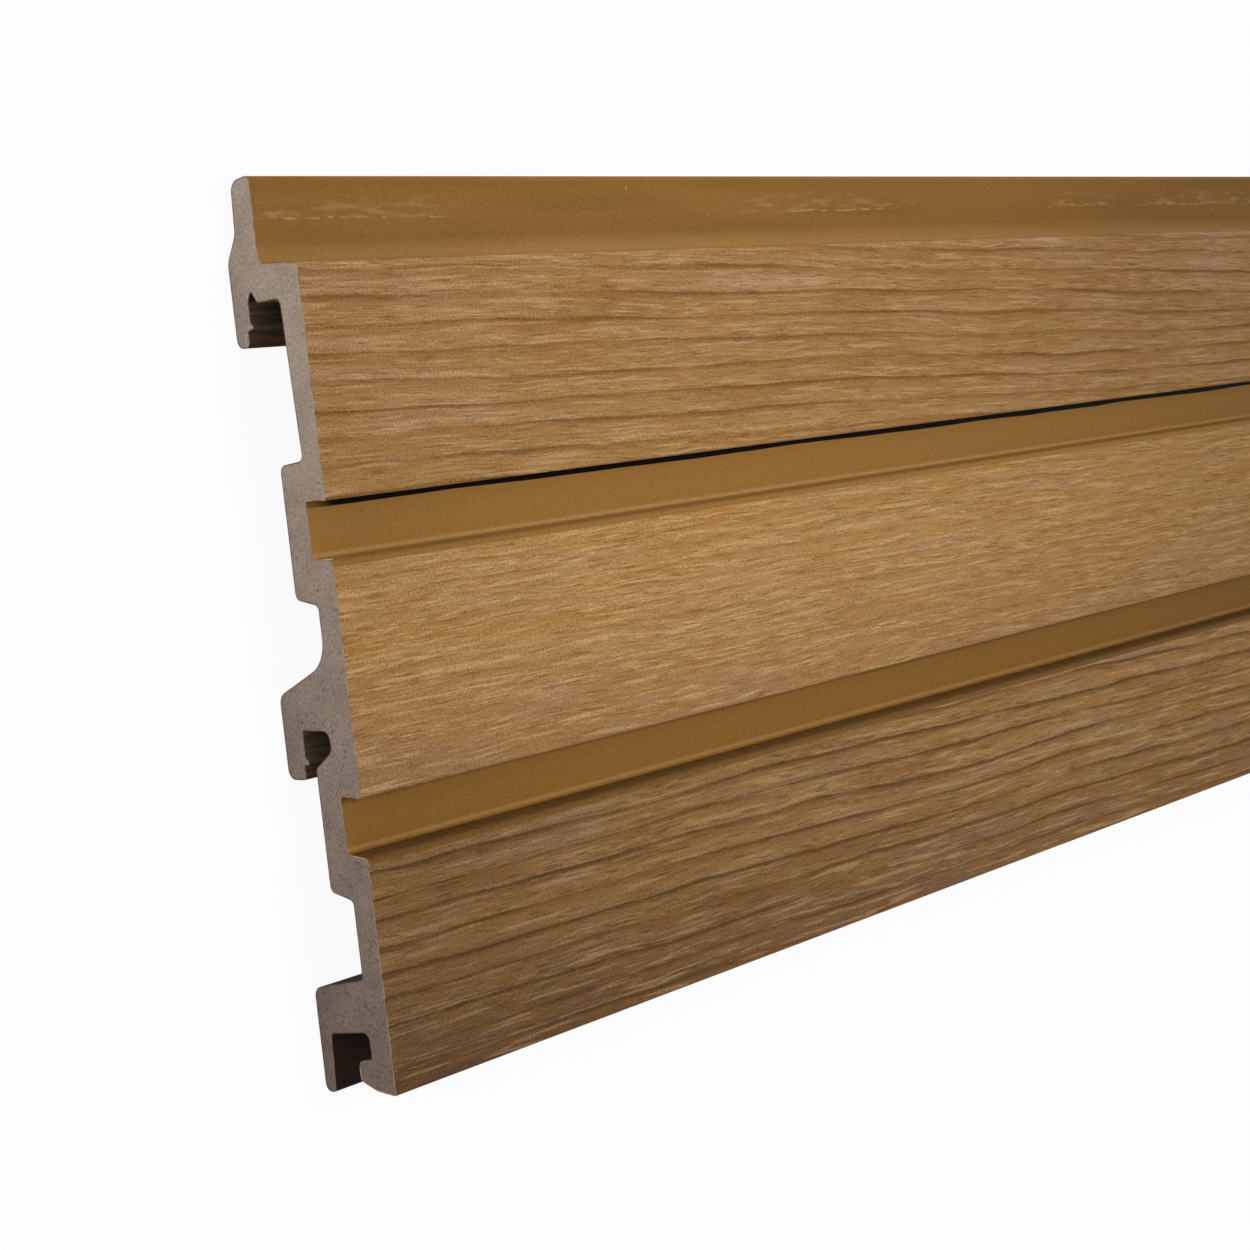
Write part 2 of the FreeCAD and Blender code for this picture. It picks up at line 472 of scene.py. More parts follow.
# %% Helpers for every material
def emptied_tree(owner):
    """The node tree of a material or a world, switched on and emptied."""
    owner.use_nodes = True
    owner.node_tree.nodes.clear()
    return owner.node_tree


def new_material(name):
    """A new material, its empty tree, and the place on the board in millimetres."""
    material = bpy.data.materials.new(name)
    tree = emptied_tree(material)
    position = add_node(tree, "ShaderNodeTexCoord", output="Object")
    place = add_node(tree, VECTOR, {0: position, "Scale": 1.0 / MM}, operation="SCALE")
    return material, tree, place


def painted(tree, colour, layers, factors=()):
    """The colour with tones laid over it in turn, each by its share, and scaled by factors."""
    for share, tone in layers:
        values = {0: share, 6: colour, 7: srgb(tone)}
        colour = add_node(tree, "ShaderNodeMix", values, data_type="RGBA", output=2)
    for factor in factors:
        colour = add_node(tree, VECTOR, {0: colour, "Scale": factor}, operation="SCALE")
    return colour


def finish_surface(tree, colour, roughness, gloss, height=None, depth=MM, strength=1.0):
    """Ends a material with its shader. Where a height is given, it makes the finest relief."""
    values = {"Base Color": colour, "Roughness": roughness, "Specular IOR Level": gloss}
    if height is not None:
        relief = {"Height": height, "Distance": depth, "Strength": strength}
        values["Normal"] = add_node(tree, "ShaderNodeBump", relief)
    shader = add_node(tree, "ShaderNodeBsdfPrincipled", values)
    add_node(tree, "ShaderNodeOutputMaterial", {"Surface": shader})


# %% Helpers for what changes along the board, in millimetres
DRIFT_LENGTH = 800.0
DRIFT = 0.14
END_SHADE_REACH = 80.0
END_STRETCH = 350.0
half_length = cad_high.x / MM


def from_sawn_end(tree, x):
    """How far a place is from the nearer sawn end."""
    from_middle = add_node(tree, MATH, {0: x}, operation="ABSOLUTE")
    return add_node(tree, MATH, {0: half_length, 1: from_middle}, operation="SUBTRACT")


def painted_light_drift(tree, from_end, palest):
    """A painted pool of light, a factor that is 1 at the palest place and gets smaller and larger in turn
    from there.

    Close to the sawn end it is a little smaller again, as painted shade.
    """
    off = add_node(tree, MATH, {0: from_end, 1: palest}, operation="SUBTRACT")
    angle = add_node(tree, MATH, {0: off, 1: 2.0 * math.pi / DRIFT_LENGTH}, operation="MULTIPLY")
    wave = add_node(tree, MATH, {0: angle}, operation="COSINE")
    drift = add_node(tree, MATH, {0: wave, 1: DRIFT, 2: 1.0 - DRIFT}, operation="MULTIPLY_ADD")
    end_shade = add_node(tree, RANGE, {0: from_end, 1: 10.0, 2: END_SHADE_REACH, 3: 0.93, 4: 1.0})
    return add_node(tree, MATH, {0: drift, 1: end_shade}, operation="MULTIPLY")


# %% Parts of the embossed skin
def painted_low_shade(tree, y, from_end, low_end, high_end):
    """How much painted shade browns the low part of a face, which fades further along the board."""
    start = low_end * 0.4 + high_end * 0.6
    low_shade = add_node(tree, RANGE, {0: y, 1: start, 2: low_end, 3: 0.0, 4: 0.75})
    near_end = add_node(tree, RANGE, {0: from_end, 1: 0.0, 2: END_STRETCH, 3: 1.2, 4: 0.6})
    return add_node(tree, MATH, {0: low_shade, 1: near_end}, operation="MULTIPLY")


def fibre_shares(tree, wandered, grain, share, fibres, y, low_end):
    """How much the light and the dark fibres show, each from 0 to 1."""
    fibrous = stretched_noise(tree, wandered, 55.0, 6.0, grain["shift"] + 87.0, 2.0)
    most = grain["fibres"]
    strength = add_node(tree, RANGE, {0: fibrous, 1: -0.1, 2: 0.1, 3: 0.3 * most, 4: most})
    by_share = add_node(tree, RANGE, {0: share, 1: 0.0, 2: 1.0, 3: 0.4, 4: 1.15})
    # Painted shade: the light fibres are fainter within 5 mm of the face's lower edge.
    near_lip = add_node(tree, RANGE, {0: y, 1: low_end, 2: low_end + 5.0, 3: 0.25, 4: 1.0})
    light = add_node(tree, RANGE, {0: fibres, 1: 0.05, 2: 0.12, 3: 0.0, 4: 0.85})
    for factor in (strength, by_share, near_lip):
        light = add_node(tree, MATH, {0: light, 1: factor}, operation="MULTIPLY")
    dark = add_node(tree, RANGE, {0: fibres, 1: -0.07, 2: -0.14, 3: 0.0, 4: 0.5})
    return light, add_node(tree, MATH, {0: dark, 1: strength}, operation="MULTIPLY")


# %% The embossed material
def embossed_capping(name, colours, grain, span):
    """Embossed ASA skin with the grain of one face."""
    material, tree, place = new_material("embossed ASA capping, " + name + " face")
    shift = grain["shift"]
    rings = grain["rings"]
    x, y = add_node(tree, SPLIT, {0: place}, output=None)[:2]
    from_end = from_sawn_end(tree, x)
    wandered = wandering_place(tree, place, grain)
    line, share = growth_rings(tree, wandered, grain, *PRINTED_LINE)
    fibres = stretched_noise(tree, wandered, 7.0, 0.42, shift + 43.0, 3.0)
    streaks = stretched_noise(tree, wandered, 25.0, 1.1, shift + 47.0, 3.0)
    dashes = stretched_noise(tree, wandered, 9.0, 0.6, shift + 67.0, 2.0)
    patches = stretched_noise(tree, wandered, 60.0, 8.0, shift + 31.0, 4.0)
    sand = add_node(tree, NOISE, {"Vector": place, "Scale": 1.7, "Detail": 1.0})

    low_end, high_end = [side / MM for side in span]
    # Painted shade towards the lower edge of the face, stronger near the sawn end.
    low_shade = painted_low_shade(tree, y, from_end, low_end, high_end)
    pinkness = add_node(tree, RANGE, {0: patches, 1: 0.0, 2: 0.18, 3: 0.0, 4: 0.9})
    goldness = add_node(tree, RANGE, {0: patches, 1: -0.02, 2: -0.18, 3: 0.0, 4: 0.7})
    brownness = add_node(tree, RANGE, {0: share, 1: 0.0, 2: 0.6, 3: 0.75 * rings, 4: 0.0})
    coarse_dark = add_node(tree, RANGE, {0: streaks, 1: -0.06, 2: -0.14, 3: 0.0, 4: 0.45})
    coarse_light = add_node(tree, RANGE, {0: streaks, 1: 0.05, 2: 0.13, 3: 0.0, 4: 0.45})
    dark_dashes = add_node(tree, RANGE, {0: dashes, 1: 0.08, 2: 0.14, 3: 0.0, 4: 0.5})
    light_fibres, dark_fibres = fibre_shares(tree, wandered, grain, share, fibres, y, low_end)
    dark_line = add_node(tree, MATH, {0: line, 1: 0.75 * min(1.0, rings)}, operation="MULTIPLY")
    layers = [
        (pinkness, "pink"),
        (goldness, "gold"),
        (low_shade, "low"),
        (brownness, "gold"),
        (coarse_dark, "gold"),
        (coarse_light, "light"),
        (dark_dashes, "dark"),
        (light_fibres, "light"),
        (dark_fibres, "dark"),
        (dark_line, "dark"),
    ]
    grit = add_node(tree, RANGE, {0: sand, 1: 0.25, 2: 0.75, 3: 0.72, 4: 1.28}, clamp=False)
    colour = painted(
        tree,
        srgb(colours["base"]),
        [(amount, colours[tone]) for amount, tone in layers],
        (grit, painted_light_drift(tree, from_end, grain["palest"])),
    )

    height = add_node(tree, MATH, {0: line, 1: -0.08 * rings}, operation="MULTIPLY")
    for noise, amount in ((fibres, 0.12), (sand, 0.1)):
        height = add_node(tree, MATH, {0: noise, 1: amount, 2: height}, operation="MULTIPLY_ADD")
    finish_surface(tree, colour, roughness=0.7, gloss=0.08, height=height)
    return material


# %% [markdown]
# ## The smooth skin
#
# Beside the faces the same ASA skin runs smooth from the die, in a deeper golden brown with a
# dull sheen. Below the flange it is painted paler, as painted light in the grooves, and lower down
# darker again, as painted shade. Where it rounds into a ledge it has painted highlights, and the
# ledges over the two upper faces are browner with painted shade. The bars of the rack rub on the
# flange: at every stop they leave a thin broken line, a pale haze and a few specks. Right under the
# lip of the upper face lies a painted shadow, a thin wavy black line, which is weaker at the sawn
# end where light comes in, and under the middle face's lip a soft brown painted shadow. The ledge
# and the rounded edge over the lower face are dark and sandy. The saw has broken a pale flake off
# the ledge over the middle face.

# %% Places on the smooth skin, in millimetres
SCUFF_LINE_Y = 95.1
SCUFF_LINE_WIDTH = 0.4
HAZE_TOP_Y = 101.0
FLANGE_LOW_Y = 91.0
RACK_SPACING = 500.0
RUBBED_STRETCHES = [(4.0, 58.0), (172.0, 238.0), (318.0, 354.0), (378.0, 462.0)]
LIP_ROUNDING = 0.73
LINE_UNDER_LIP = 1.45
EDGE_ROUNDING = 1.46
LEDGE_RUN = 0.71
LINE_Z = (17.0, 22.6)
upper_lip_y = face_spans[0][0] / MM - LIP_ROUNDING
middle_lip_y = face_spans[1][0] / MM - LIP_ROUNDING
lower_ledge_y = face_spans[2][1] / MM + EDGE_ROUNDING + LEDGE_RUN
end_x = cad_low.x / MM


def off_middle(tree, value, middle):
    """How far a value is from a middle, to either side."""
    off = add_node(tree, MATH, {0: value, 1: middle}, operation="SUBTRACT")
    return add_node(tree, MATH, {0: off}, operation="ABSOLUTE")


def between(tree, value, low, high):
    """1 where the value lies between low and high, and 0 elsewhere."""
    off = off_middle(tree, value, (low + high) / 2.0)
    return add_node(tree, MATH, {0: off, 1: (high - low) / 2.0}, operation="LESS_THAN")


# %% The rubbed flange
def worn_stretches(tree, place, x):
    """Where a bar of the rack has rubbed along the board, from 0 to 1."""
    from_end = add_node(tree, MATH, {0: x, 1: end_x}, operation="SUBTRACT")
    at_rack = add_node(tree, MATH, {0: from_end, 1: RACK_SPACING, 2: 0.0}, operation="WRAP")
    uneven = stretched_noise(tree, place, 12.0, 1.4, 29.0, 2.0)
    at_rack = add_node(tree, MATH, {0: uneven, 1: 60.0, 2: at_rack}, operation="MULTIPLY_ADD")
    worn = 0.0
    for start, end in RUBBED_STRETCHES:
        off = off_middle(tree, at_rack, (start + end) / 2.0)
        half = (end - start) / 2.0
        inside = add_node(tree, RANGE, {0: off, 1: half - 8.0, 2: half + 6.0, 3: 1.0, 4: 0.0})
        worn = add_node(tree, MATH, {0: worn, 1: inside}, operation="MAXIMUM")
    return worn


def specks(tree, place, y):
    """Small pale specks on the flange, from 0 to 1."""
    dots = add_node(tree, "ShaderNodeTexVoronoi", {"Vector": place, "Scale": 0.13}, output=None)
    speck = add_node(tree, RANGE, {0: dots["Distance"], 1: 0.03, 2: 0.07, 3: 0.6, 4: 0.0})
    chance = add_node(tree, "ShaderNodeSeparateColor", {0: dots["Color"]})
    chosen = add_node(tree, MATH, {0: chance, 1: 0.35}, operation="LESS_THAN")
    on_flange = add_node(tree, MATH, {0: y, 1: FLANGE_LOW_Y}, operation="GREATER_THAN")
    for factor in (chosen, on_flange):
        speck = add_node(tree, MATH, {0: speck, 1: factor}, operation="MULTIPLY")
    return speck


def rubbed_flange(tree, place, x, y):
    """How much the rack has rubbed a place of the flange, from 0 to 1."""
    wobble = stretched_noise(tree, place, 16.0, 400.0, 37.0)
    line_y = add_node(tree, MATH, {0: wobble, 1: 1.6, 2: SCUFF_LINE_Y}, operation="MULTIPLY_ADD")
    above = add_node(tree, MATH, {0: y, 1: line_y}, operation="SUBTRACT")
    off_line = add_node(tree, MATH, {0: above}, operation="ABSOLUTE")
    on_line = add_node(tree, RANGE, {0: off_line, 1: 0.1, 2: SCUFF_LINE_WIDTH, 3: 1.0, 4: 0.0})
    broken = stretched_noise(tree, place, 3.2, 1.0, 17.0, 3.0)
    left_over = add_node(tree, RANGE, {0: broken, 1: -0.05, 2: 0.12, 3: 0.0, 4: 0.72})
    line = add_node(tree, MATH, {0: on_line, 1: left_over}, operation="MULTIPLY")

    cloud = stretched_noise(tree, place, 10.0, 1.9, 53.0, 6.0)
    haze = add_node(tree, RANGE, {0: cloud, 1: -0.02, 2: 0.16, 3: 0.0, 4: 0.5})
    fading_up = add_node(tree, RANGE, {0: y, 1: SCUFF_LINE_Y, 2: HAZE_TOP_Y, 3: 1.0, 4: 0.0})
    over_line = add_node(tree, RANGE, {0: above, 1: -0.3, 2: 0.3})
    for factor in (fading_up, over_line):
        haze = add_node(tree, MATH, {0: haze, 1: factor}, operation="MULTIPLY")
    rubbed = add_node(tree, MATH, {0: line, 1: haze}, operation="MAXIMUM")
    rubbed = add_node(tree, MATH, {0: rubbed, 1: worn_stretches(tree, place, x)}, operation="MULTIPLY")
    return add_node(tree, MATH, {0: rubbed, 1: specks(tree, place, y)}, operation="MAXIMUM")


# %% The painted shadows under the lips
def painted_shadow_under_lip(tree, place, from_end, y, z, lip_y, fade):
    """Where the wavy painted shadow under a lip is, from 0 to 1. Its lower side fades within twice fade
    mm.
    """
    waver = stretched_noise(tree, place, 55.0, 400.0, 61.0, 2.0)
    values = {0: waver, 1: 1.6, 2: lip_y - LINE_UNDER_LIP}
    line_edge = add_node(tree, MATH, values, operation="MULTIPLY_ADD")
    above_edge = add_node(tree, MATH, {0: y, 1: line_edge}, operation="SUBTRACT")
    line = add_node(tree, RANGE, {0: above_edge, 1: -fade, 2: fade}, **SMOOTH)
    under_lip = add_node(tree, MATH, {0: y, 1: lip_y + 0.1}, operation="LESS_THAN")
    # Painted light: the shadow is weaker near the sawn end, where light comes in from the end.
    inward = add_node(tree, RANGE, {0: from_end, 1: 1.5, 2: 8.0, 3: 0.5, 4: 1.0}, **SMOOTH)
    for factor in (under_lip, between(tree, z, *LINE_Z), inward):
        line = add_node(tree, MATH, {0: line, 1: factor}, operation="MULTIPLY")
    return line


# %% The dark ledge
def dark_ledge(tree, place, y, z):
    """Where the ledge and the rounded edge over the lower face are, from 0 to 1."""
    ledge = add_node(tree, RANGE, {0: y, 1: lower_ledge_y - 3.4, 2: lower_ledge_y - 0.6, 3: 0.35})
    below = add_node(tree, MATH, {0: y, 1: lower_ledge_y}, operation="LESS_THAN")
    raised = add_node(tree, RANGE, {0: z, 1: 19.0, 2: 19.4})
    sand = stretched_noise(tree, place, 0.7, 0.6, 67.0, 2.0)
    sandy = add_node(tree, RANGE, {0: sand, 1: -0.2, 2: 0.2, 3: 1.0, 4: 0.55})
    for factor in (below, raised, sandy):
        ledge = add_node(tree, MATH, {0: ledge, 1: factor}, operation="MULTIPLY")
    return ledge


# %% A chip
CHIPPED_LEDGE_Y = 17.0
CHIP_Z = 22.8


def saw_chip(tree, place, from_end, y, z):
    """Where the saw has broken a small flake off the middle face's ledge, 0 or 1."""
    off_ledge = add_node(tree, MATH, {0: y, 1: CHIPPED_LEDGE_Y}, operation="SUBTRACT")
    off_height = add_node(tree, MATH, {0: z, 1: CHIP_Z}, operation="SUBTRACT")
    off = add_node(tree, JOIN, {0: off_ledge, 1: off_height})
    off = add_node(tree, VECTOR, {0: off}, operation="LENGTH", output="Value")
    uneven = stretched_noise(tree, place, 1.2, 0.8, 77.0, 2.0)
    reach = add_node(tree, MATH, {0: uneven, 1: 4.0, 2: 2.4}, operation="MULTIPLY_ADD")
    reach = add_node(tree, MATH, {0: off, 1: -1.1, 2: reach}, operation="MULTIPLY_ADD")
    return add_node(tree, MATH, {0: from_end, 1: reach}, operation="LESS_THAN")


# %% Painted highlights at the roots and painted shade on the ledges
# Each ledge lies between two Y. Its painted shade grows between two Z, from the first share to the
# second.
PAINTED_LEDGE_SHADES = [(80.0, 85.1, 12.5, 25.0, 0.2, 1.0), (15.0, 18.2, 20.9, 23.5, 0.0, 0.4)]
# Each painted highlight at a root has its Y, how far it reaches to either side, and its paleness.
ROOT_HIGHLIGHTS = [(86.8, 4.2, 0.36), (17.9, 1.1, 0.8), (-48.2, 0.8, 0.5)]


def painted_ledge_shade(tree, from_end, y, z):
    """How much painted shade browns the ledges over the two upper faces, from 0 to 1, most at the sawn
    end.
    """
    shade = 0.0
    for low, high, start, full, least, most in PAINTED_LEDGE_SHADES:
        on_ledge = between(tree, y, low, high)
        rising = add_node(tree, RANGE, {0: z, 1: start, 2: full, 3: least, 4: most})
        shade = add_node(tree, MATH, {0: on_ledge, 1: rising, 2: shade}, operation="MULTIPLY_ADD")
    fading = add_node(tree, RANGE, {0: from_end, 1: 0.0, 2: END_STRETCH, 3: 1.0, 4: 0.5})
    return add_node(tree, MATH, {0: shade, 1: fading}, operation="MULTIPLY")


def painted_root_highlights(tree, y):
    """How much painted highlight lies where the skin rounds into a ledge, from 0 to 1."""
    paleness = 0.0
    for middle, reach, strength in ROOT_HIGHLIGHTS:
        values = {0: off_middle(tree, y, middle), 1: 0.0, 2: reach, 3: strength, 4: 0.0}
        near = add_node(tree, RANGE, values, **SMOOTH)
        paleness = add_node(tree, MATH, {0: paleness, 1: near}, operation="MAXIMUM")
    return paleness


# %% The smooth material
PALEST_SMOOTH = 120.0


def smooth_capping():
    """Smooth ASA skin with its rubbed flange, its lines and its shaded ledges."""
    material, tree, place = new_material("smooth ASA capping")
    x, y, z = add_node(tree, SPLIT, {0: place}, output=None)
    from_end = from_sawn_end(tree, x)
    clouds = stretched_noise(tree, place, 60.0, 6.0, 5.0)
    cloudy = add_node(tree, RANGE, {0: clouds, 1: -0.2, 2: 0.2})
    # Painted light: below the flange the skin is painted paler, standing in for light in the grooves
    # under the lips.
    painted_light_in_grooves = add_node(tree, RANGE, {0: y, 1: 70.0, 2: 35.0})
    # Painted shade: lower down the skin is painted darker again.
    lower = add_node(tree, RANGE, {0: y, 1: 10.0, 2: -40.0})
    scuffed = rubbed_flange(tree, place, x, y)
    # Painted shadows under the two lips, black under the upper one and soft brown under the middle one.
    black_painted_shadow = painted_shadow_under_lip(tree, place, from_end, y, z, upper_lip_y, 0.1)
    brown_painted_shadow = painted_shadow_under_lip(tree, place, from_end, y, z, middle_lip_y, 0.8)
    brown_painted_shadow = add_node(tree, MATH, {0: brown_painted_shadow, 1: 0.65}, operation="MULTIPLY")
    layers = [
        (cloudy, "8F6532"),
        (painted_light_in_grooves, "9C7138"),
        (lower, "8F652F"),
        (painted_root_highlights(tree, y), "B68D56"),
        (painted_ledge_shade(tree, from_end, y, z), "72502A"),
        (scuffed, "BA9F78"),
        (dark_ledge(tree, place, y, z), "523C22"),
        (brown_painted_shadow, "4E3814"),
        (black_painted_shadow, "050302"),
        (saw_chip(tree, place, from_end, y, z), "D2C2AC"),
    ]
    leather = stretched_noise(tree, place, 1.2, 0.8, 73.0, 2.0)
    mottle = add_node(tree, RANGE, {0: leather, 1: -0.2, 2: 0.2, 3: 0.9, 4: 1.1})
    # Painted light along the board, as on the embossed faces.
    drift = painted_light_drift(tree, from_end, PALEST_SMOOTH)
    colour = painted(tree, srgb("855E2C"), layers, (mottle, drift))
    die_lines = stretched_noise(tree, place, 220.0, 0.5, 83.0, 2.0)
    height = add_node(tree, MATH, {0: leather, 1: 0.6, 2: die_lines}, operation="MULTIPLY_ADD")
    roughness = add_node(tree, RANGE, {0: scuffed, 1: 0.0, 2: 1.0, 3: 0.48, 4: 0.75})
    finish_surface(tree, colour, roughness, gloss=0.03, height=height, depth=0.03 * MM)
    return material


# %% [markdown]
# ## The back
#
# The back and the slots have a plain skin of a much darker brown, dull and without grain. It
# shows in the photograph only inside the slots and as a thin dark line round the sawn end. The
# two upper slots are painted paler inside, with streaks, as painted light. The corner over the
# lowest hook is painted nearly black, as painted shadow.

# %% The back's material, with places in Y
# The two upper slots between these Y are painted paler inside, as painted light.
LIT_SLOTS = [(66.0, 77.0), (-34.0, -20.0)]
# The corner between these Y is painted nearly black, as painted shadow.
SHADOWED_CORNER = (-82.0, -75.0)


def painted_light_in_slots(tree, place, y, z):
    """Where painted light makes a slot paler inside, with streaks, from 0 to 1."""
    slot_light = 0.0
    for low, high in LIT_SLOTS:
        slot_light = add_node(tree, MATH, {0: slot_light, 1: between(tree, y, low, high)}, operation="MAXIMUM")
    inside = add_node(tree, MATH, {0: z, 1: 2.0}, operation="GREATER_THAN")
    streaks = stretched_noise(tree, place, 12.0, 0.9, 27.0, 3.0)
    streaky = add_node(tree, RANGE, {0: streaks, 1: -0.15, 2: 0.15, 3: 0.35, 4: 1.0})
    for factor in (inside, streaky):
        slot_light = add_node(tree, MATH, {0: slot_light, 1: factor}, operation="MULTIPLY")
    return slot_light


def back_skin():
    """Plain dark brown skin of the back and the slots."""
    material, tree, place = new_material("plain dark brown PVC back skin")
    y, z = add_node(tree, SPLIT, {0: place}, output=None)[1:]
    clouds = stretched_noise(tree, place, 90.0, 4.0, 7.0, 2.0)
    layers = [
        (add_node(tree, RANGE, {0: clouds, 1: -0.2, 2: 0.2}), "352720"),
        # Painted light: the inside of the two upper slots is painted paler.
        (painted_light_in_slots(tree, place, y, z), "655341"),
        # Painted shadow: the corner over the lowest hook is painted nearly black.
        (between(tree, y, *SHADOWED_CORNER), "0C0709"),
    ]
    colour = painted(tree, srgb("291E19"), layers)
    die_lines = stretched_noise(tree, place, 300.0, 0.6, 19.0, 2.0)
    finish_surface(tree, colour, roughness=0.8, gloss=0.05, height=die_lines, depth=0.05 * MM)
    return material


# %% [markdown]
# ## The sawn foam and the edge of the skin
#
# The saw leaves the foam core bare: taupe, dull and mottled, with small dark cells in groups. The
# cut edge of the skin is a thin line round it, light brown at the front and dark at the back.


# %% The foam
def sawn_foam():
    """Foamed core as the saw leaves it."""
    material, tree, place = new_material("sawn cellular foam core")
    y = add_node(tree, SPLIT, {0: place}, output=1)
    # Painted shade: the foam is painted darker and greyer towards the bottom. The same ramp lets more
    # cells show there.
    lower = add_node(tree, RANGE, {0: y, 1: 60.0, 2: -100.0})
    clouds, crumbs, crowding = [
        add_node(tree, NOISE, {"Vector": place, "Scale": scale, "Detail": detail})
        for scale, detail in ((0.12, 2.0), (1.3, 3.0), (0.22, 1.0))
    ]
    pores = add_node(tree, "ShaderNodeTexVoronoi", {"Vector": place, "Scale": 0.75}, output=None)
    chance = add_node(tree, "ShaderNodeSeparateColor", {0: pores["Color"]})
    most = add_node(tree, RANGE, {0: lower, 1: 0.0, 2: 1.0, 3: 0.3, 4: 1.0})
    wanted = add_node(tree, RANGE, {0: crowding, 1: 0.42, 2: 0.6, 3: 0.03, 4: most})
    kept = add_node(tree, MATH, {0: chance, 1: wanted}, operation="LESS_THAN")
    inside = add_node(tree, RANGE, {0: pores["Distance"], 1: 0.15, 2: 0.48, 3: 1.0, 4: 0.0}, **SMOOTH)
    cells = add_node(tree, MATH, {0: kept, 1: inside}, operation="MULTIPLY")

    cloudy = add_node(tree, RANGE, {0: clouds, 1: 0.3, 2: 0.7, 3: 0.9, 4: 1.1})
    crumbly = add_node(tree, RANGE, {0: crumbs, 1: 0.3, 2: 0.7, 3: 0.76, 4: 1.24})
    colour = painted(tree, srgb("A39283"), [(lower, "77665D")], (cloudy, crumbly))
    cell_share = add_node(tree, MATH, {0: cells, 1: 0.5}, operation="MULTIPLY")
    colour = painted(tree, colour, [(cell_share, "4A4039")])
    dents = add_node(tree, MATH, {0: cells, 1: -0.12}, operation="MULTIPLY")
    height = add_node(tree, MATH, {0: crumbs, 1: 0.3, 2: dents}, operation="MULTIPLY_ADD")
    finish_surface(tree, colour, roughness=0.9, gloss=0.15, height=height, strength=0.7)
    return material


# %% The cut edge of the skin
def cut_skin_edge(side, colour, broken_colour):
    """The cut edge of the skin, a thin line round the foam."""
    material, tree, place = new_material("cut edge of the " + side + " skin")
    broken = add_node(tree, NOISE, {"Vector": place, "Scale": 0.35, "Detail": 2.0})
    share = add_node(tree, RANGE, {0: broken, 1: 0.38, 2: 0.62})
    colour = painted(tree, srgb(colour), [(share, broken_colour)])
    finish_surface(tree, colour, roughness=0.7, gloss=0.2)
    return material


# %% Make the materials
materials = {
    "smooth": smooth_capping(),
    "back": back_skin(),
    "foam": sawn_foam(),
    "grain": [embossed_capping(*face) for face in zip(FACE_NAMES, FACE_COLOURS, GRAINS, face_spans)],
}
skin_edges = [cut_skin_edge("front", "8F6848", "AB937C"), cut_skin_edge("back", "54443A", "7A6A5C")]

# %% [markdown]
# ## Making the board
#
# The tree is run once, and its result becomes a plain mesh. The smooth zones don't need a row
# every few millimetres, so the edges across them are dissolved, and only the embossed faces keep
# their rows. Each sawn end then gets a narrow rim, which is the cut edge of the skin.

# %% Run the tree
groove_middles = [(upper[0] + lower[1]) / 2.0 for upper, lower in zip(face_spans, face_spans[1:])]
tree = extrusion_tree(materials, groove_middles)
modifier = section.modifiers.new("extrusion", "NODES")
modifier.node_group = tree
given = {"Start": cad_low.x, "End": cad_high.x, "Row spacing": ROW_SPACING, "Relief depth": RELIEF_DEPTH}
for item in tree.interface.items_tree:
    if item.in_out == "INPUT" and item.name in given:
        modifier[item.identifier] = given[item.name]
bpy.context.view_layer.update()
depsgraph = bpy.context.evaluated_depsgraph_get()
swept_mesh = bpy.data.meshes.new_from_object(section.evaluated_get(depsgraph))
section.modifiers.remove(modifier)
bpy.data.objects.remove(section)
print("swept", len(swept_mesh.vertices), "points")

# %% Rim the sawn ends
SKIN_THICKNESS = 0.3 * MM


def inner_outline(outline, width):
    """A flat outline moved inwards by a width, point by point."""
    inner = []
    for index, here in enumerate(outline):
        before = (here - outline[index - 1]).normalized()
        after = (outline[(index + 1) % len(outline)] - here).normalized()
        along = (before + after).normalized()
        inward = Vector((-along.y, along.x))
        lean = max(0.5, along.dot(after))
        inner.append(here + inward * (width / lean))
    return inner


def rimmed_end(board, end, core_index, back_index, rim_indices):
    """Replaces an end face by a narrow rim, the cut edge of the skin, and the core inside it.

    Both are triangles between two outlines, the board's own and one a skin's thickness inside.
    """
    outer = list(end.verts)
    on_back = {
        vert for vert in outer if any(face.material_index == back_index for face in vert.link_faces)
    }
    if end.normal.x < 0.0:
        outer.reverse()
    on_outline = set(outer)
    x = outer[0].co.x
    flat = [Vector((vert.co.y, vert.co.z)) / MM for vert in outer]
    inner = inner_outline(flat, SKIN_THICKNESS / MM)
    count = len(flat)
    loops = [(index, (index + 1) % count) for index in range(count)]
    loops += [(count + first, count + second) for first, second in loops]
    cut = delaunay_2d_cdt(flat + inner, loops, [], 1, 0.0001)
    places, triangles, sources = cut[0], cut[2], cut[3]
    verts = []
    for place, source in zip(places, sources):
        own = [index for index in source if index < count]
        verts.append(outer[own[0]] if own else board.verts.new((x, place.x * MM, place.y * MM)))
    board.faces.remove(end)
    for triangle in triangles:
        corners = [verts[index] for index in triangle]
        if x < 0.0:
            corners.reverse()
        touching = [corner for corner in corners if corner in on_outline]
        face = board.faces.new(corners)
        if not touching:
            face.material_index = core_index
        else:
            face.material_index = rim_indices[all(corner in on_back for corner in touching)]


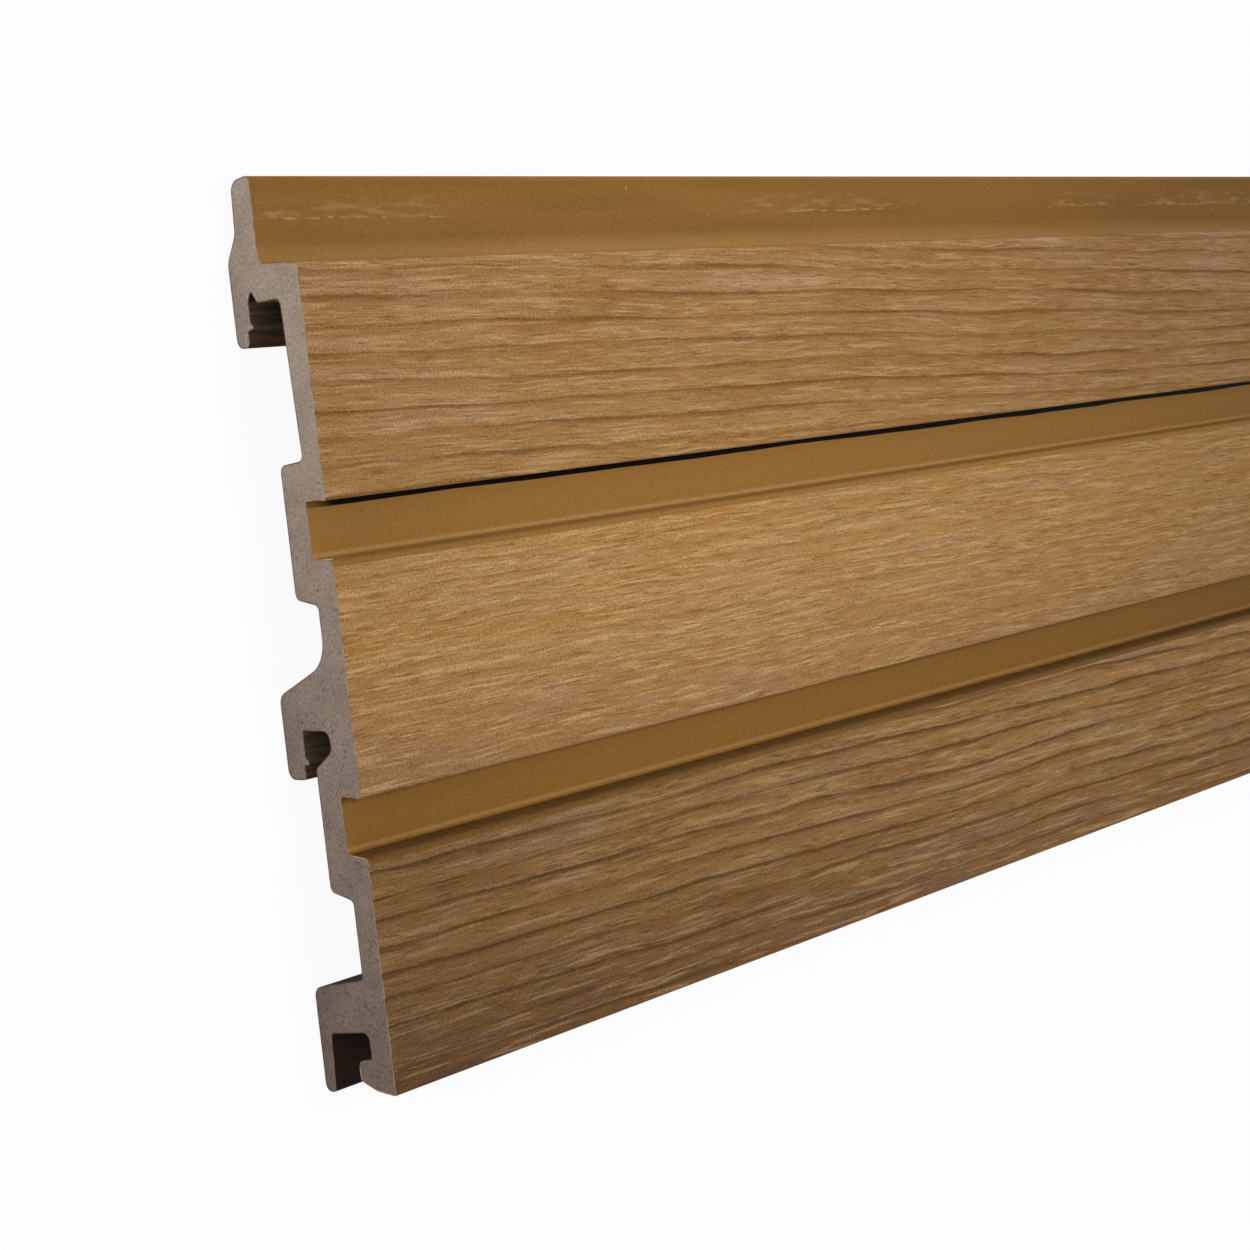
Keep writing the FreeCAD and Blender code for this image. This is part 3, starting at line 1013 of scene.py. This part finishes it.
# %% Finish the mesh
def finished_board(mesh):
    """The swept mesh with long faces where it is smooth and a rim round each sawn end."""
    board = bmesh.new()
    board.from_mesh(mesh)
    bmesh.ops.recalc_face_normals(board, faces=board.faces)
    kept = [material for material in mesh.materials if material]
    for face in board.faces:
        face.material_index = kept.index(mesh.materials[face.material_index])
    plain = {kept.index(materials["smooth"]), kept.index(materials["back"])}
    crossings = []
    for edge in board.edges:
        first, second = edge.verts
        runs_across = abs(first.co.x - second.co.x) < SAME_PLACE
        if runs_across and all(face.material_index in plain for face in edge.link_faces):
            crossings.append(edge)
    bmesh.ops.dissolve_edges(board, edges=crossings, use_verts=True)
    board.normal_update()
    core_index, back_index = [kept.index(materials[name]) for name in ("foam", "back")]
    for end in [face for face in board.faces if abs(face.normal.x) > ENDWISE_LEAST]:
        rimmed_end(board, end, core_index, back_index, (len(kept), len(kept) + 1))
    mesh.materials.clear()
    for material in kept + skin_edges:
        mesh.materials.append(material)
    triangles = sum(len(face.verts) - 2 for face in board.faces)
    closed = all(edge.is_manifold for edge in board.edges)
    volume = board.calc_volume(signed=True)
    board.to_mesh(mesh)
    board.free()
    print("board mesh:", len(mesh.polygons), "faces,", triangles, "triangles, closed", closed)
    print("volume %.0f cm3" % (volume / (10.0 * MM) ** 3))


finished_board(swept_mesh)
swept_mesh.name = "capped_board"
capped_board = new_object("capped_board", swept_mesh)
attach(capped_board, "root")
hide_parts("cladding_board")
print("materials", [slot.name for slot in capped_board.material_slots])

# %% [markdown]
# ## The floor and the light
#
# The board lies on a plain white floor. To the camera the floor and the world are mostly plain
# white, and the rest of the floor is a real diffuse surface, which keeps the board's shadow.
#
# A long narrow lamp hangs almost straight over the board, so the grooves are bright right up to
# their lips. A low one at the flange's side lights the ledges and brings out the pressed lines. A
# short lamp overhead makes the near end brighter, and one in front lights the sawn end.

# %% Floor
FLOOR_SIZE = 30.0
FLOOR_OWN_LIGHT = 0.93


def seen_or_mirrored(tree):
    """1 for a ray from the camera, off a gloss or through glass, and 0 for one that lights."""
    rays = add_node(tree, "ShaderNodeLightPath", output=None)
    seen = rays["Is Camera Ray"]
    for kind in ("Is Glossy Ray", "Is Transmission Ray"):
        seen = add_node(tree, MATH, {0: seen, 1: rays[kind]}, operation="MAXIMUM")
    return seen


def pale_floor():
    """A white floor that keeps a light shadow."""
    material = bpy.data.materials.new("white painted floor")
    tree = emptied_tree(material)
    share = add_node(tree, MATH, {0: seen_or_mirrored(tree), 1: FLOOR_OWN_LIGHT}, operation="MULTIPLY")
    paint = add_node(tree, "ShaderNodeBsdfDiffuse", {"Color": srgb("F4F4F2"), "Roughness": 0.8})
    white = add_node(tree, "ShaderNodeEmission", {"Color": srgb("FFFFFF"), "Strength": 1.0})
    shader = add_node(tree, "ShaderNodeMixShader", {0: share, 1: paint, 2: white})
    add_node(tree, "ShaderNodeOutputMaterial", {"Surface": shader})
    return material


bpy.ops.mesh.primitive_plane_add(size=FLOOR_SIZE)
floor = bpy.context.object
floor.name = "floor"
floor.data.materials.append(pale_floor())
print("floor", FLOOR_SIZE, "m wide")

# %% World
AMBIENT = 0.42


def studio_world():
    """White to the camera and to reflections, and a weaker white as the soft light all round."""
    world = bpy.data.worlds.new("studio")
    tree = emptied_tree(world)
    strength = add_node(tree, RANGE, {0: seen_or_mirrored(tree), 1: 0.0, 2: 1.0, 3: AMBIENT, 4: 1.0})
    sky = add_node(tree, "ShaderNodeBackground", {"Color": srgb("FFFFFF"), "Strength": strength})
    add_node(tree, "ShaderNodeOutputWorld", {"Surface": sky})
    return world


bpy.context.scene.world = studio_world()

# %% Lamps
# Each lamp has its place, what it aims at and its two sides, in metres, and its power in watts.
LAMPS = {
    "long lamp": ((0.0, 0.06, 0.72), (0.0, 0.0, 0.0), (3.4, 0.14), 2.1),
    "near lamp": ((-1.11, 0.06, 0.72), (-1.11, 0.0, 0.0), (0.2, 0.14), 1.5),
    "side lamp": ((0.0, 1.1, 0.42), (0.0, 0.0, 0.0), (3.4, 0.5), 7.0),
    "end lamp": ((-2.3, 0.25, 0.6), (-1.25, 0.0, 0.0), (0.8, 0.6), 4.0),
}


def hang_lamp(name, place, aim, size, power):
    """A rectangular lamp that the camera doesn't see. Its long side runs along X."""
    light = bpy.data.lights.new(name, "AREA")
    light.shape = "RECTANGLE"
    light.size, light.size_y = size
    light.energy = power
    lamp = new_object(name, light)
    lamp.location = place
    direction = Vector(aim) - Vector(place)
    lamp.rotation_euler = direction.to_track_quat("-Z", "Y").to_euler()
    lamp.visible_camera = False


for name, values in LAMPS.items():
    hang_lamp(name, *values)
print("lamps", list(LAMPS))

# %% [markdown]
# ## The camera
#
# The camera stands before the near end, a little above the middle of the board, and looks along
# it and down by half a right angle. Its place and lens were worked out from the corners of the
# sawn end in the photograph. A small vertical shift puts the board in the same part of the
# picture.

# %% Camera
CAMERA_PLACE = (-1.54901, 0.03644, 0.42002)
CAMERA_TURN = (6.019, -44.638, -9.46)
LENS = 63.767
SHIFT_Y = -0.13012

view = bpy.data.cameras.new("camera")
view.sensor_width = 36.0
view.lens = LENS
view.shift_y = SHIFT_Y
view.clip_start = 0.01
view.clip_end = 100.0
camera = new_object("camera", view)
camera.location = CAMERA_PLACE
camera.rotation_euler = [math.radians(turn) for turn in CAMERA_TURN]
bpy.context.scene.camera = camera
bpy.context.scene.view_settings.view_transform = "Standard"
